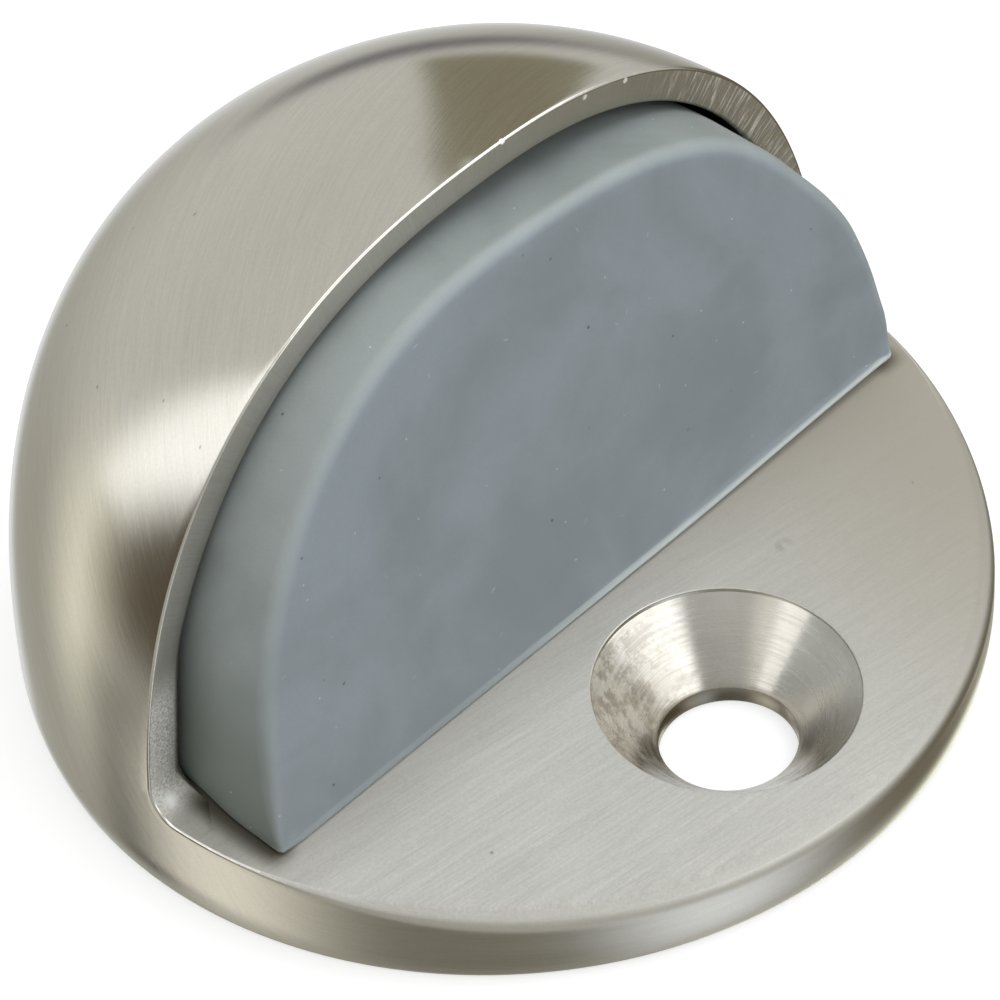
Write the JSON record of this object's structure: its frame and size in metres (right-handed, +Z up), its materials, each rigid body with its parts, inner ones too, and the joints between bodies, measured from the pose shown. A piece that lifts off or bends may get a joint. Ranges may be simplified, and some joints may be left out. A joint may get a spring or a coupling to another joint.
{
  "type": "door stop",
  "caption": "Low half-dome floor door stop: satin nickel casting with a round foot and countersunk screw hole, and a grey rubber bumper set in its flat front.",
  "frame": {"origin": "centre of the round foot's underside, on the floor", "axes": "+Z up from the floor; -Y towards the door, the way the bumper faces and the screw hole lies; +X across, with the part symmetric about X = 0"},
  "size_m": [0.0444, 0.0444, 0.0272],
  "materials": {
    "satin_nickel": "brushed satin nickel plating",
    "grey_rubber": "matt grey moulded rubber",
    "brass": "turned",
    "zinc_steel": "zinc plated"
  },
  "bodies": {
    "root": {"cast_body": "satin_nickel", "rubber_bumper": "grey_rubber", "bumper_insert": "brass", "bumper_screw": "zinc_steel", "bumper_washer": "zinc_steel"}
  },
  "joints": []
}
